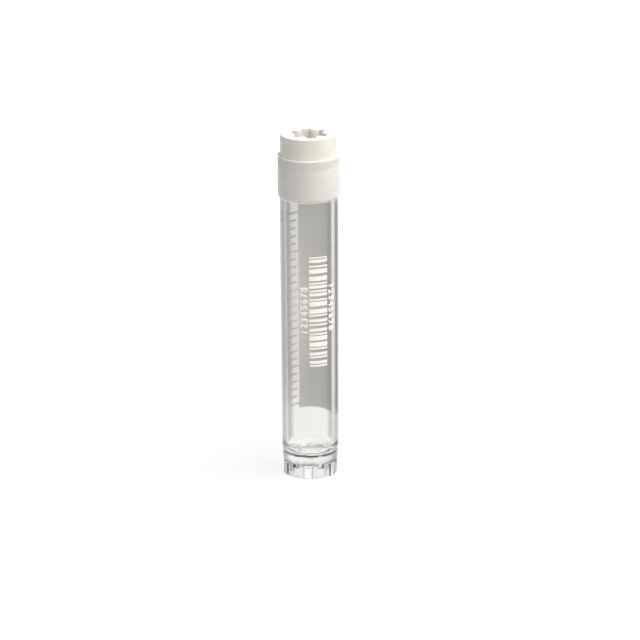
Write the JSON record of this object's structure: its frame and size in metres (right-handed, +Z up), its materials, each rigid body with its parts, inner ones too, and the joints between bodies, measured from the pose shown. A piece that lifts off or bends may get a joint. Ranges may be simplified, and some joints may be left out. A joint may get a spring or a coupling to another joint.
{
  "type": "cryogenic sample vial",
  "caption": "Tall clear plastic sample vial with a round-cornered well, an outside screw thread, a star foot and a ribbed screw cap with a white drive insert.",
  "frame": {"origin": "on the vial's axis, at the middle of the ring that it stands on", "axes": "+Z up along the vial towards the cap; one outer rib of the star foot points along -Y"},
  "size_m": [0.0132, 0.0132, 0.0762],
  "materials": {
    "clear_pp": "glossy, clarified and clear",
    "natural_pp": "satin, milky and translucent",
    "white_pp": "satin, opaque warm white",
    "silicone": "matt, soft and translucent"
  },
  "bodies": {
    "vial": {"tube": "clear_pp"},
    "seal": {"seal_ring": "silicone"},
    "cap": {"screw_cap": "natural_pp", "cap_insert": "white_pp"}
  },
  "joints": [
    {"name": "cap_rise", "type": "slide", "parent": "vial", "child": "seal", "axis": [0, 0, 1], "range_m": [0, 0.0054]},
    {"name": "cap_turn", "type": "hinge", "parent": "seal", "child": "cap", "pos_m": [0, 0, 0.0666], "axis": [0, 0, 1], "range_deg": [0, 540]}
  ],
  "couplings": [
    {"joint": "cap_turn", "follows": "cap_rise", "rad_per_m": 1745.3}
  ]
}
